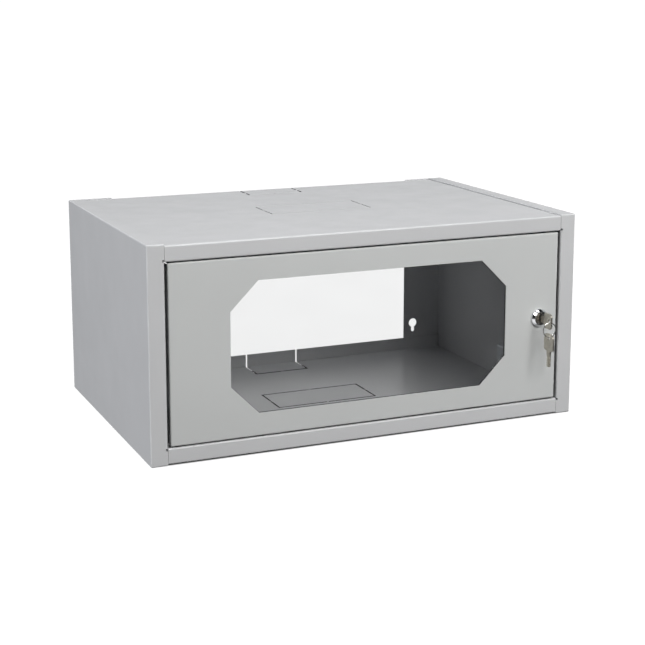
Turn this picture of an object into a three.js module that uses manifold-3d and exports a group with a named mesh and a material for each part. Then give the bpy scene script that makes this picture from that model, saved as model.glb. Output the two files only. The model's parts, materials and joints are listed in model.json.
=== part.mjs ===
// Wall and desk rack cabinet for 19-inch network equipment, four units high.
// Millimetres, +Z up. X runs across the front, the door faces -Y, and the model stands on Z = 0.

import * as THREE from 'three';
import { mergeVertices } from 'three/addons/utils/BufferGeometryUtils.js';
import Module from 'manifold-3d';

const wasm = await Module();
wasm.setup();

// Driving dimensions of the cabinet.
const WIDTH = 540;
const DEPTH = 350;
const HEIGHT = 250;
const SHEET = 1.2;          // folded steel sheet
const BEND = 2;             // outer radius of each fold
const GAP = 0.3;            // clearance between neighbouring pieces
const FRAME = 20;           // width of the front posts and rails, and of the side panels' flanges
const BACK_FLANGE = 57;
const BACK_LIP = 20;
const POST_RETURN = 16.5;
const RAIL_RETURN = 15;
const STOP_DEPTH = 19.2;    // how far back the door stop's rear face lies
const STOP_WIDTH = 8;
const RELIEF = 2.6;         // corner notch where a post's fold meets a rail's fold

// Door, window and hinge.
const DOOR_SIDE_GAP = 3.3;
const DOOR_END_GAP = 1.5;
const DOOR_DEPTH = 15;
const WINDOW = { width: 350.7, height: 153.3, cut: 33.5 };
const TAPE_BORDER = 11;
const TAPE_LAP = 0.4;       // how far the tape shows inside the window's edge
const TAPE = 1;
const PANE = 3;
const HINGE = { x: -239, y: 7, pin: 2, pinReach: 8, head: 3.6, headHeight: 2 };
const BUSH = { bore: 2.35, radius: 3.2, hole: 3.5, collar: 4.6, reach: 6 };
const BUMPER = { half: 6, fromEnd: 60, corner: 2, inset: 0.8 };

// Cam lock, keys and split ring.
const LOCK = { x: 222, z: 125, bezel: 11, nose: 5.5, body: 9.3, bodyEnd: 18.5, plug: 6.8, bore: 7.1 };
const PLUG = { recess: 0.7, past: 0.6, screwHole: 2.3 };
const LOCK_NUT = { corner: 13.4, height: 4.5 };
const CAM = { start: 20, end: 22, halfWidth: 8, reach: 27, tail: 9, corner: 5, socket: 3.8, square: 3.4 };
const CAM_SCREW = { radius: 2, head: 4.6, headHeight: 2.2 };
const KEY = { thick: 2, blade: 8.4, taper: 2.5, slot: 9.2, slotWidth: 2.6, tip: 14.9, slotEnd: 15.5 };
const BOW = { length: 16.5, width: 19, start: 13, hole: 2.6, holeEdge: 4.6 };
const SPARE = { bow: 21.5, width: 20, blade: 19.5, holeEdge: 5.5 };
const RING = { radius: 8.6, wire: 0.7 };

// 19-inch standard: hole spacing, hole side, unit height and hole heights within a unit.
const RACK = { spacing: 465.1, clear: 450, hole: 9.5, unit: 44.45, units: 4, steps: [6.35, 22.225, 38.1] };
const RAIL = { front: 50, depth: 30, width: 18, sheet: 1.5, height: 186 };
const BRACKET = { start: 25, end: 135, web: 24, foot: 10, sheet: 1.5, slot: 6.8, fromEnd: 45 };
const BOLT = { y: 70, radius: 3, past: 8, head: 5, headHeight: 4, hole: 3.4 };
const SOCKET = { corner: 2.9, depth: 2.5 };
const NUT = { corner: 5.7, height: 5, bore: 3.35 };

// Openings in the sheets and the earth point.
const KEYHOLE = { x: 227.4, z: 41, head: 6.25, slot: 2.5, slotEnd: 28 };
const BRIDGE = 2.6;         // metal left in each side of a knockout
const FRONT_KNOCKOUT = { half: 67, start: 150, end: 212, slit: 2 };
const REAR_KNOCKOUT = { half: 38, start: 307, slit: 2.4, gate: 17 };
const BOTTOM_KNOCKOUT_SHIFT = 8;   // the bottom's knockouts lie this far towards the lock side
const EARTH = { x: -252, y: 165, radius: 3, height: 22, flange: 4, flangeHeight: 0.7 };
const WASHER = { radius: 6.25, start: 1, height: 1.6 };

const bowHole = BOW.start + BOW.length - BOW.holeEdge;
const keyReach = bowHole + SPARE.width / 2;
const frontEdge = -(DEPTH - keyReach) / 2;
const halfWidth = WIDTH / 2;
const post = halfWidth - FRAME;
const doorHalf = post - DOOR_SIDE_GAP;
const doorLow = FRAME + DOOR_END_GAP;
const doorHigh = HEIGHT - doorLow;
const panelTop = HEIGHT - SHEET - GAP;
const wallInside = halfWidth - SHEET;

// ---------------------------------------------------------------- solids

// Closed three.js geometry to a solid that can be joined and cut.
function solid(geometry) {
  geometry.deleteAttribute('normal');
  geometry.deleteAttribute('uv');
  const merged = mergeVertices(geometry, 1e-4);
  const triVerts = Uint32Array.from(merged.index.array);
  const vertProperties = Float32Array.from(merged.attributes.position.array);
  return new wasm.Manifold(new wasm.Mesh({ numProp: 3, vertProperties, triVerts }));
}

function geometryOf(manifold) {
  const { vertProperties, triVerts } = manifold.getMesh();
  const geometry = new THREE.BufferGeometry();
  geometry.setAttribute('position', new THREE.BufferAttribute(vertProperties, 3));
  geometry.setIndex(new THREE.BufferAttribute(triVerts, 1));
  return geometry;
}

function box(x0, x1, y0, y1, z0, z1) {
  const geometry = new THREE.BoxGeometry(x1 - x0, y1 - y0, z1 - z0);
  geometry.translate((x0 + x1) / 2, (y0 + y1) / 2, (z0 + z1) / 2);
  return solid(geometry);
}

// An outline of [u, v] points carried from one place on an axis to another.
// Along X the outline is (y, z), along Y it is (x, z), and along Z it is (x, y).
function prism(outline, axis, from, to, holes = []) {
  const flip = axis === 'y' ? -1 : 1;
  const wound = (points, clockwise) => {
    const vectors = points.map(([u, v]) => new THREE.Vector2(flip * u, v));
    return THREE.ShapeUtils.isClockWise(vectors) === clockwise ? vectors : vectors.reverse();
  };
  const shape = new THREE.Shape(wound(outline, false));
  shape.holes = holes.map((hole) => new THREE.Path(wound(hole, true)));
  const geometry = new THREE.ExtrudeGeometry(shape, { depth: to - from, bevelEnabled: false });
  geometry.translate(0, 0, from);
  if (axis === 'x') {
    geometry.rotateX(Math.PI / 2);
    geometry.rotateZ(Math.PI / 2);
  }
  if (axis === 'y') {
    geometry.rotateX(Math.PI / 2);
    geometry.rotateZ(Math.PI);
  }
  return solid(geometry);
}

function polygon(u, v, radius, sides, turn = 0) {
  return Array.from({ length: sides }, (_, i) => {
    const angle = turn + (2 * Math.PI * i) / sides;
    return [u + radius * Math.cos(angle), v + radius * Math.sin(angle)];
  });
}

function rod(axis, u, v, radius, from, to, sides = 24) {
  return prism(polygon(u, v, radius, sides), axis, from, to);
}

function rectangle(u0, u1, v0, v1) {
  return [[u0, v0], [u1, v0], [u1, v1], [u0, v1]];
}

// Points on an arc, both ends included.
function arc(u, v, radius, from, to, steps) {
  return Array.from({ length: steps + 1 }, (_, i) => {
    const angle = from + ((to - from) * i) / steps;
    return [u + radius * Math.cos(angle), v + radius * Math.sin(angle)];
  });
}

function roundedRectangle(u0, u1, v0, v1, radius, steps = 3) {
  const quarter = Math.PI / 2;
  return [
    ...arc(u1 - radius, v0 + radius, radius, -quarter, 0, steps),
    ...arc(u1 - radius, v1 - radius, radius, 0, quarter, steps),
    ...arc(u0 + radius, v1 - radius, radius, quarter, 2 * quarter, steps),
    ...arc(u0 + radius, v0 + radius, radius, 2 * quarter, 3 * quarter, steps),
  ];
}

// A block with every edge rounded, used to round the folds where panels' flanges meet.
function roundedBlock([x0, y0, z0], [x1, y1, z1], radius) {
  const alongX = prism(roundedRectangle(y0, y1, z0, z1, radius), 'x', x0, x1);
  const alongY = prism(roundedRectangle(x0, x1, z0, z1, radius), 'y', y0, y1);
  const alongZ = prism(roundedRectangle(x0, x1, y0, y1, radius), 'z', z0, z1);
  return alongX.intersect(alongY).intersect(alongZ);
}

// Outline of a sheet folded along a centre line with square corners, with true bend radii.
function folded(path, thickness = SHEET, outer = BEND, steps = 3) {
  const middle = outer - thickness / 2;
  const line = [];
  path.forEach(([u, v], i) => {
    if (i === 0 || i === path.length - 1) {
      line.push({ u, v });
      return;
    }
    const before = new THREE.Vector2(u - path[i - 1][0], v - path[i - 1][1]).normalize();
    const after = new THREE.Vector2(path[i + 1][0] - u, path[i + 1][1] - v).normalize();
    const centre = [u + middle * (after.x - before.x), v + middle * (after.y - before.y)];
    const turn = Math.sign(before.x * after.y - before.y * after.x);
    const start = Math.atan2(-after.y, -after.x);
    arc(centre[0], centre[1], middle, start, start + turn * Math.PI / 2, steps).forEach(([a, b]) => {
      line.push({ u: a, v: b, nu: turn * (centre[0] - a) / middle, nv: turn * (centre[1] - b) / middle });
    });
  });
  const ends = [[line[0], line[1], 1], [line.at(-1), line.at(-2), -1]];
  ends.forEach(([end, next, sign]) => {
    const along = new THREE.Vector2(next.u - end.u, next.v - end.v).normalize();
    end.nu = -sign * along.y;
    end.nv = sign * along.x;
  });
  const half = thickness / 2;
  const left = line.map((p) => [p.u + half * p.nu, p.v + half * p.nv]);
  const right = line.map((p) => [p.u - half * p.nu, p.v - half * p.nv]);
  return [...right, ...left.reverse()];
}

function union(parts) {
  return parts.reduce((whole, part) => whole.add(part));
}

function cut(body, tools) {
  return tools.reduce((rest, tool) => rest.subtract(tool), body);
}

const mirrorX = (body) => body.mirror([1, 0, 0]);
const mirrorZ = (body) => body.mirror([0, 0, 1]).translate([0, 0, HEIGHT]);

// ---------------------------------------------------------------- materials

const FINISH = {
  coat: { color: 0xb9bcbe, roughness: 0.5, metalness: 0.1 },
  doorCoat: { color: 0xb6babb, roughness: 0.48, metalness: 0.1 },
  zinc: { color: 0xa9adb0, roughness: 0.38, metalness: 0.9 },
  chrome: { color: 0xd9dadb, roughness: 0.12, metalness: 1 },
  nickel: { color: 0x9c968a, roughness: 0.3, metalness: 1 },
  steel: { color: 0x8f9193, roughness: 0.35, metalness: 1 },
  black: { color: 0x17181a, roughness: 0.7, metalness: 0 },
  pane: { color: 0xdfe6e6, roughness: 0.06, metalness: 0 },
};

const cabinet = new THREE.Group();
cabinet.position.set(0, frontEdge, 0);

function addNode(name, body, finish, parent = cabinet) {
  const material = new THREE.MeshStandardMaterial(FINISH[finish]);
  if (finish === 'pane') {
    material.transparent = true;
    material.opacity = 0.35;
  }
  const mesh = new THREE.Mesh(geometryOf(body), material);
  mesh.name = name;
  parent.add(mesh);
  return mesh;
}

// ---------------------------------------------------------------- cabinet panels

// Keyhole for hanging on a screw: the slot leaves the head towards the cabinet's nearer end.
function keyhole() {
  const y0 = DEPTH - SHEET - 1;
  const y1 = DEPTH + 1;
  const head = rod('y', KEYHOLE.x, KEYHOLE.z, KEYHOLE.head, y0, y1, 32);
  const end = rod('y', KEYHOLE.x, KEYHOLE.slotEnd + KEYHOLE.slot, KEYHOLE.slot, y0, y1, 16);
  const { x, slot, slotEnd, z } = KEYHOLE;
  return union([head, end, box(x - slot, x + slot, y0, y1, slotEnd + slot, z)]);
}

// Right-hand side panel: wall, top and bottom flanges, front post and rear flange in one folded sheet.
function sidePanel(withStop) {
  const half = SHEET / 2;
  const wall = halfWidth - half;
  const innerPost = post + half;
  const returnEnd = withStop
    ? [[innerPost - STOP_WIDTH, STOP_DEPTH - half], [innerPost, STOP_DEPTH - half]]
    : [[innerPost, POST_RETURN]];
  const rear = [[wall, DEPTH - half], [halfWidth - BACK_FLANGE, DEPTH - half]];
  const upright = prism(folded([...returnEnd, [innerPost, half], [wall, half], ...rear]), 'z', 0, HEIGHT);
  const endPath = [[post, HEIGHT - half], [wall, HEIGHT - half], [wall, half], [post, half]];
  const flanges = prism(folded(endPath), 'y', 0, DEPTH);
  const block = roundedBlock([-halfWidth, 0, 0], [halfWidth, DEPTH, HEIGHT], BEND);
  const railEnd = box(post, post + BEND + 1, 0, SHEET, 0, FRAME - RELIEF);
  const body = upright.add(flanges).add(railEnd).add(mirrorZ(railEnd)).intersect(block);
  const lowTools = [
    box(post - STOP_WIDTH - 1, post + BEND + 1, SHEET + GAP, STOP_DEPTH + 1, SHEET, FRAME),
    box(post - 1, post + RELIEF, -1, STOP_DEPTH + 1, FRAME - RELIEF, FRAME),
    keyhole(),
  ];
  return cut(body, [...lowTools, ...lowTools.map(mirrorZ)]);
}

// Slits round a rectangle of sheet that can be broken out, held by a bridge in each side.
function frontKnockout(z0, z1) {
  const { half, start, end, slit } = FRONT_KNOCKOUT;
  const middle = (start + end) / 2;
  const bridge = BRIDGE / 2;
  const across = [start, end - slit].flatMap((y) => [
    box(-half, -bridge, y, y + slit, z0, z1),
    box(bridge, half, y, y + slit, z0, z1),
  ]);
  const along = [-half, half - slit].flatMap((x) => [
    box(x, x + slit, start, middle - bridge, z0, z1),
    box(x, x + slit, middle + bridge, end, z0, z1),
  ]);
  return [...across, ...along];
}

// Slits of the cable knockout at the back: they run on through the lip to its top edge.
function rearKnockout(z0, z1) {
  const { half, start, slit } = REAR_KNOCKOUT;
  const bridge = BRIDGE / 2;
  const gate = start + REAR_KNOCKOUT.gate;
  return [
    box(-half, -bridge, start, start + slit, z0, z1),
    box(bridge, half, start, start + slit, z0, z1),
    ...[-half, half - slit].flatMap((x) => [
      box(x, x + slit, start, gate, z0, z1),
      box(x, x + slit, gate + BRIDGE, DEPTH, z0 - FRAME, z1),
    ]),
  ];
}

// Top panel: plate under the side flanges, with the front rail and its return, and the back lip.
function topPanel(knockoutShift = 0) {
  const half = SHEET / 2;
  const plateZ = panelTop - half;
  const backY = DEPTH - SHEET - GAP - half;
  const railZ = HEIGHT - FRAME + half;
  const lipEnd = [backY, HEIGHT - BACK_LIP];
  const path = [lipEnd, [backY, plateZ], [half, plateZ], [half, railZ], [RAIL_RETURN, railZ]];
  const profile = folded(path);
  const between = post - GAP;
  const wide = wallInside - GAP;
  const middle = prism(profile, 'x', -between, between);
  const notch = STOP_DEPTH + GAP;
  const behindPosts = box(-wide - 1, wide + 1, -1, SHEET + GAP, 0, HEIGHT);
  const wings = prism(profile, 'x', -wide, wide).subtract(behindPosts);
  const underRail = box(-wide - 1, wide + 1, -1, notch, 0, panelTop - SHEET - GAP);
  const plate = wings.subtract(underRail);
  const pinHole = rod('z', HINGE.x, HINGE.y, BUSH.bore, railZ - 2, railZ + 2, 16);
  const z0 = panelTop - SHEET - 1;
  const z1 = panelTop + 1;
  const slits = [...frontKnockout(z0, z1), ...rearKnockout(z0, z1)];
  return cut(middle.add(plate), [pinHole, ...slits.map((slit) => slit.translate([knockoutShift, 0, 0]))]);
}

// ---------------------------------------------------------------- door and window

function octagon(grow) {
  const x = WINDOW.width / 2 + grow;
  const z = WINDOW.height / 2 + grow;
  const c = WINDOW.cut + grow * (2 - Math.SQRT2);
  const quarter = [[x, c - z], [x, z - c], [x - c, z], [c - x, z]];
  const outline = [...quarter, ...quarter.map(([u, v]) => [-u, -v])];
  return outline.map(([u, v]) => [u, v + HEIGHT / 2]);
}

function doorPanel() {
  const half = SHEET / 2;
  const x = doorHalf - half;
  const low = doorLow + half;
  const high = doorHigh - half;
  const across = [[-x, DOOR_DEPTH], [-x, half], [x, half], [x, DOOR_DEPTH]];
  const upright = [[DOOR_DEPTH, low], [half, low], [half, high], [DOOR_DEPTH, high]];
  const sides = prism(folded(across), 'z', doorLow, doorHigh);
  const ends = prism(folded(upright), 'x', -doorHalf, doorHalf);
  const block = roundedBlock([-doorHalf, 0, doorLow], [doorHalf, 2 * DOOR_DEPTH, doorHigh], BEND);
  const pan = sides.add(ends).intersect(block);
  const notch = SHEET + 2 * GAP;
  const lefts = [-doorHalf - 1, doorHalf - notch];
  const bottoms = [doorLow - 1, doorHigh - notch];
  const corner = (x0, z0) => box(x0, x0 + notch + 1, SHEET + GAP, DOOR_DEPTH + 1, z0, z0 + notch + 1);
  return cut(pan, [
    ...lefts.flatMap((x0) => bottoms.map((z0) => corner(x0, z0))),
    prism(octagon(0), 'y', -1, SHEET + 1),
    rod('y', LOCK.x, LOCK.z, LOCK.body + GAP, -1, SHEET + 1, 32),
    rod('z', HINGE.x, HINGE.y, BUSH.hole, doorLow - 1, doorHigh + 1, 16),
  ]);
}

function addWindow() {
  const tapeFront = SHEET + GAP;
  const paneFront = tapeFront + TAPE + GAP;
  const tape = prism(octagon(TAPE_BORDER), 'y', tapeFront, tapeFront + TAPE, [octagon(-TAPE_LAP)]);
  addNode('window_tape', tape, 'black');
  addNode('window_pane', prism(octagon(TAPE_BORDER), 'y', paneFront, paneFront + PANE), 'pane');
}

// Pin welded in the rail's return, and the nylon bush in the door's return that turns on it.
function addHinge() {
  const { x, y, pin, pinReach, head, headHeight } = HINGE;
  const headFrom = HEIGHT - FRAME + SHEET + GAP;
  const collarFrom = doorHigh + GAP;
  const collarTo = HEIGHT - FRAME - GAP;
  const shank = rod('z', x, y, pin, doorHigh - pinReach, headFrom + 1, 16);
  const upperPin = shank.add(rod('z', x, y, head, headFrom, headFrom + headHeight, 16));
  const collar = rod('z', x, y, BUSH.collar, collarFrom, collarTo, 24);
  const sleeve = rod('z', x, y, BUSH.radius, doorHigh - BUSH.reach, collarTo, 16).add(collar);
  const upperBush = sleeve.subtract(rod('z', x, y, BUSH.bore, 0, HEIGHT, 16));
  addNode('upper_hinge_pin', upperPin, 'zinc');
  addNode('lower_hinge_pin', mirrorZ(upperPin), 'zinc');
  addNode('upper_hinge_bush', upperBush, 'black');
  addNode('lower_hinge_bush', mirrorZ(upperBush), 'black');
}

// Rubber pads on the stop that the closed door's edge lands on.
function addBumpers() {
  const { half, fromEnd, corner, inset } = BUMPER;
  const back = STOP_DEPTH - SHEET - GAP;
  [['lower', fromEnd], ['upper', HEIGHT - fromEnd]].forEach(([level, z]) => {
    const outline = roundedRectangle(post - STOP_WIDTH + inset, post - inset, z - half, z + half, corner);
    addNode(`${level}_door_bumper`, prism(outline, 'y', DOOR_DEPTH + GAP, back), 'black');
  });
}

// ---------------------------------------------------------------- lock and keys

// A ring turned about the lock's axis from (radius, depth) points.
function turned(profile, sides = 28) {
  const points = profile.map(([r, y]) => new THREE.Vector2(r, y));
  const geometry = new THREE.LatheGeometry([...points, points[0]], sides);
  geometry.translate(LOCK.x, 0, LOCK.z);
  return solid(geometry);
}

function lockHousing() {
  const { bezel, nose, body, bodyEnd, bore } = LOCK;
  return turned([
    [bore, -nose + 1.4],
    [bore + 1.6, -nose],
    [bezel - 1.4, -nose],
    [bezel, -nose + 1.6],
    [bezel, -GAP],
    [body, -GAP],
    [body, bodyEnd],
    [bore, bodyEnd],
  ]);
}

function lockNut() {
  const { x, z, body } = LOCK;
  const y0 = SHEET + GAP;
  const outline = polygon(x, z, LOCK_NUT.corner, 6);
  return prism(outline, 'y', y0, y0 + LOCK_NUT.height, [polygon(x, z, body + GAP, 32)]);
}

function lockPlug() {
  const { x, z, plug, nose, bodyEnd } = LOCK;
  const front = -nose + PLUG.recess;
  const shoulder = bodyEnd + PLUG.past;
  const half = KEY.slotWidth / 2;
  const square = rectangle(x - CAM.square, x + CAM.square, z - CAM.square, z + CAM.square);
  const body = rod('y', x, z, plug, front, shoulder, 32).add(prism(square, 'y', shoulder - 1, CAM.end));
  return cut(body, [
    box(x - half, x + half, front - 1, KEY.slotEnd, z - KEY.slot / 2, z + KEY.slot / 2),
    rod('y', x, z, PLUG.screwHole, KEY.slotEnd + 1.5, CAM.end + 1, 16),
  ]);
}

// Cam: a flat tongue with a square hole, standing upright when the lock is open.
function lockCam() {
  const { x, z } = LOCK;
  const w = CAM.halfWidth;
  const tip = roundedRectangle(x - w, x + w, z - CAM.reach, z + CAM.tail, CAM.corner);
  const hole = rectangle(x - CAM.socket, x + CAM.socket, z - CAM.socket, z + CAM.socket);
  return prism(tip, 'y', CAM.start, CAM.end, [hole]);
}

function camScrew() {
  const { x, z } = LOCK;
  const { radius, head, headHeight } = CAM_SCREW;
  const from = CAM.end + GAP;
  const shank = rod('y', x, z, radius, KEY.slotEnd + 2, from + 1, 12);
  return shank.add(rod('y', x, z, head, from, from + headHeight, 24));
}

// Bow of a key in its own plane, from u = 0 at the blade to u = length, with the ring's hole.
function bowOutline(length, width, neck) {
  const r = Math.min(width, length) * 0.32;
  const half = width / 2;
  return [
    [0, -neck],
    [2, -half + 1.5],
    ...arc(length - r, -half + r, r, -Math.PI / 2, 0, 5),
    ...arc(length - r, half - r, r, 0, Math.PI / 2, 5),
    [2, half - 1.5],
    [0, neck],
  ];
}

const ringPlane = -bowHole;
const ringTop = LOCK.z - BOW.hole + RING.wire + GAP;
const ringCentre = ringTop - RING.radius;

// Blade of a key in its own plane, from u = -1 inside the bow to its tip at u = length.
function bladeOutline(length) {
  const half = KEY.blade / 2;
  const shoulder = length - KEY.taper;
  return [[-1, -half], [shoulder, -half], [length, -1], [length, 1], [shoulder, half], [-1, half]];
}

// The key in the lock: its plate stands upright, and the bow's hole is level with the lock.
function keyInLock() {
  const { x, z } = LOCK;
  const half = KEY.thick / 2;
  const outline = bowOutline(BOW.length, BOW.width, KEY.blade / 2).map(([u, v]) => [-BOW.start - u, z + v]);
  const edge = bladeOutline(BOW.start + KEY.tip).map(([u, v]) => [u - BOW.start, z + v]);
  const plate = prism(outline, 'x', x - half, x + half).add(prism(edge, 'x', x - half, x + half));
  return plate.subtract(prism(polygon(ringPlane, z, BOW.hole, 16), 'x', x - half - 1, x + half + 1));
}

function keyRing() {
  const circle = polygon(0, 0, RING.wire, 6).map(([u, v]) => [RING.radius + u, v]);
  const points = circle.map(([r, y]) => new THREE.Vector2(r, y));
  const geometry = new THREE.LatheGeometry([...points, points[0]], 32);
  geometry.translate(LOCK.x, ringPlane, ringCentre);
  return solid(geometry);
}

// Spare key: it hangs from the ring's lowest point with its plate square to the ring.
function spareKey() {
  const { x } = LOCK;
  const half = KEY.thick / 2;
  const ringLow = ringCentre - RING.radius;
  const holeZ = ringLow - BOW.hole + RING.wire + GAP;
  const bowLow = holeZ + SPARE.holeEdge - SPARE.bow;
  const bow = bowOutline(SPARE.bow, SPARE.width, KEY.blade / 2);
  const outline = bow.map(([u, v]) => [ringPlane + v, bowLow + u]);
  const edge = bladeOutline(SPARE.blade).map(([u, v]) => [ringPlane + v, bowLow - u]);
  const plate = prism(outline, 'x', x - half, x + half).add(prism(edge, 'x', x - half, x + half));
  return plate.subtract(prism(polygon(ringPlane, holeZ, BOW.hole, 16), 'x', x - half - 1, x + half + 1));
}

function addLock() {
  addNode('lock_housing', lockHousing(), 'chrome');
  addNode('lock_nut', lockNut(), 'zinc');
  addNode('lock_plug', lockPlug(), 'chrome');
  addNode('lock_cam', lockCam(), 'zinc');
  addNode('cam_screw', camScrew(), 'steel');
  addNode('key_in_lock', keyInLock(), 'nickel');
  addNode('key_ring', keyRing(), 'chrome');
  addNode('spare_key', spareKey(), 'nickel');
}

// ---------------------------------------------------------------- mounting rails

const railInner = RACK.clear / 2;
const railOuter = railInner + RAIL.width;
const webInner = railOuter + GAP;
const bracketHeights = [['lower', BRACKET.fromEnd], ['upper', HEIGHT - BRACKET.fromEnd]];

// Right-hand mounting rail: an angle with square holes for cage nuts in its front flange.
function mountingRail() {
  const half = RAIL.sheet / 2;
  const x = railOuter - half;
  const y = RAIL.front + half;
  const outline = folded([[railInner, y], [x, y], [x, RAIL.front + RAIL.depth]], RAIL.sheet, 2.5);
  const low = (HEIGHT - RAIL.height) / 2;
  const body = prism(outline, 'z', low, low + RAIL.height);
  const firstUnit = (HEIGHT - RACK.units * RACK.unit) / 2;
  const holes = [];
  for (let unit = 0; unit < RACK.units; unit += 1) {
    RACK.steps.forEach((step) => {
      const z = firstUnit + unit * RACK.unit + step;
      const s = RACK.hole / 2;
      const c = RACK.spacing / 2;
      holes.push(box(c - s, c + s, RAIL.front - 1, RAIL.front + RAIL.sheet + 1, z - s, z + s));
    });
  }
  const bolts = bracketHeights.map(([, z]) =>
    rod('x', BOLT.y, z, BOLT.hole, railOuter - RAIL.sheet - 1, railOuter + 1, 16));
  return cut(body, [...holes, ...bolts]);
}

// Right-hand bracket: a hat section welded to the wall, with a slot that lets the rail move back.
function railBracket(z) {
  const half = BRACKET.sheet / 2;
  const web = webInner + half;
  const foot = wallInside - GAP - half;
  const h = BRACKET.web / 2;
  const outline = folded([
    [foot, z - h - BRACKET.foot],
    [foot, z - h],
    [web, z - h],
    [web, z + h],
    [foot, z + h],
    [foot, z + h + BRACKET.foot],
  ], BRACKET.sheet, 2.5);
  const body = prism(outline, 'y', BRACKET.start, BRACKET.end);
  const r = BRACKET.slot / 2;
  const slot = roundedRectangle(BRACKET.start + 12, BRACKET.end - 12, z - r, z + r, r - 0.01);
  return body.subtract(prism(slot, 'x', webInner - 1, webInner + BRACKET.sheet + 1));
}

function railBolt(z) {
  const headOuter = railOuter - RAIL.sheet - GAP;
  const headInner = headOuter - BOLT.headHeight;
  const head = rod('x', BOLT.y, z, BOLT.head, headInner, headOuter, 24);
  const shank = rod('x', BOLT.y, z, BOLT.radius, headOuter - 1, webInner + BRACKET.sheet + BOLT.past, 16);
  const recess = polygon(BOLT.y, z, SOCKET.corner, 6);
  const socket = prism(recess, 'x', headInner - 1, headInner + SOCKET.depth);
  return head.add(shank).subtract(socket);
}

function railNut(z) {
  const from = webInner + BRACKET.sheet + GAP;
  const outline = polygon(BOLT.y, z, NUT.corner, 6);
  return prism(outline, 'x', from, from + NUT.height, [polygon(BOLT.y, z, NUT.bore, 16)]);
}

function addPair(name, body, finish) {
  addNode(`left_${name}`, mirrorX(body), finish);
  addNode(`right_${name}`, body, finish);
}

function addRails() {
  addPair('mounting_rail', mountingRail(), 'zinc');
  bracketHeights.forEach(([level, z]) => {
    addPair(`${level}_rail_bracket`, railBracket(z), 'zinc');
    addPair(`${level}_rail_bolt`, railBolt(z), 'steel');
    addPair(`${level}_rail_nut`, railNut(z), 'zinc');
  });
}

// ---------------------------------------------------------------- earth point

// Stud welded to the left flange of the bottom, with its washer and nut.
function addEarthPoint() {
  const { x, y, radius, height, flange, flangeHeight } = EARTH;
  const base = 2 * (SHEET + GAP);
  const washerFrom = base + WASHER.start;
  const washerTo = washerFrom + WASHER.height;
  const nutFrom = washerTo + GAP;
  const stud = rod('z', x, y, radius, base, base + height, 16);
  const hole = polygon(x, y, NUT.bore, 16);
  const washer = prism(polygon(x, y, WASHER.radius, 24), 'z', washerFrom, washerTo, [hole]);
  const nut = prism(polygon(x, y, NUT.corner, 6), 'z', nutFrom, nutFrom + NUT.height, [hole]);
  addNode('earth_stud', stud.add(rod('z', x, y, flange, base, base + flangeHeight, 16)), 'steel');
  addNode('earth_washer', washer, 'zinc');
  addNode('earth_nut', nut, 'zinc');
}

// ---------------------------------------------------------------- assembly

addNode('left_side_panel', mirrorX(sidePanel(false)), 'coat');
addNode('right_side_panel', sidePanel(true), 'coat');
addNode('top_panel', topPanel(), 'coat');
addNode('bottom_panel', mirrorZ(topPanel(BOTTOM_KNOCKOUT_SHIFT)), 'coat');
addNode('door_panel', doorPanel(), 'doorCoat');
addWindow();
addHinge();
addBumpers();
addLock();
addRails();
addEarthPoint();

export default cabinet;
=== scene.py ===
"""Looks of the four-unit network rack cabinet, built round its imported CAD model. Metres, +Z up."""

import json
import math

import bmesh
import bpy
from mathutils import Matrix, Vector


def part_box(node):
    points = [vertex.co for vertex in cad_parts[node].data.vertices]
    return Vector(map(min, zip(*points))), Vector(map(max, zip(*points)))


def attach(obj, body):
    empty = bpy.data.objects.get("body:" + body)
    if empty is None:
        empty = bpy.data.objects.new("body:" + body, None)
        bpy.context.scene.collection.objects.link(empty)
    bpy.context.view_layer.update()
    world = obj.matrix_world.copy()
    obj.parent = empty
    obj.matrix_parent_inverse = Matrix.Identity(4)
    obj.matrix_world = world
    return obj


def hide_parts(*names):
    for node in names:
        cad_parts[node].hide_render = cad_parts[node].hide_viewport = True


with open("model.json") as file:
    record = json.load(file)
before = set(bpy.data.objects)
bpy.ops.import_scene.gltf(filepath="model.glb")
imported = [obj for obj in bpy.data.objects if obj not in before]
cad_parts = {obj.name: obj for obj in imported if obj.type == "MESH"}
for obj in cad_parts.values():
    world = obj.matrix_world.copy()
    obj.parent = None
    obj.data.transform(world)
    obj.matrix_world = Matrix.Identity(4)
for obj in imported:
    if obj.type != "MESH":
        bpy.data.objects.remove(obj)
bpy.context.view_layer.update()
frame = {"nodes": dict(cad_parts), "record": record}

MM = 0.001
SLOT_OF = {part["node"]: part["material_slot"] for part in frame["record"]["subparts"]}
BODY_OF = {node: body for body, nodes in frame["record"]["behaviour"]["bodies"].items() for node in nodes}
FACE_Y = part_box("door_panel")[0].y           # the plane of the closed door's front
CASE_MIDDLE = sum(corner.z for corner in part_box("left_side_panel")) / 2
KNOCKOUT_REACH = 90 * MM                     # the knockouts lie within this distance of the middle
AXES = {"x": (1, 2, 0), "y": (0, 2, 1), "z": (0, 1, 2)}   # across, up and along for each axis


# ---------------------------------------------------------------- camera, lights and stage

CAMERA_AZIMUTH = math.radians(23.27)
CAMERA_ELEVATION = math.radians(10.5)
CAMERA_PLACE = Vector((-0.706, FACE_Y - 1.492, 0.5365))
CAMERA_LENS = 81.8
CAMERA_SHIFT = -0.12                         # keeps the case's uprights almost parallel


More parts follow.
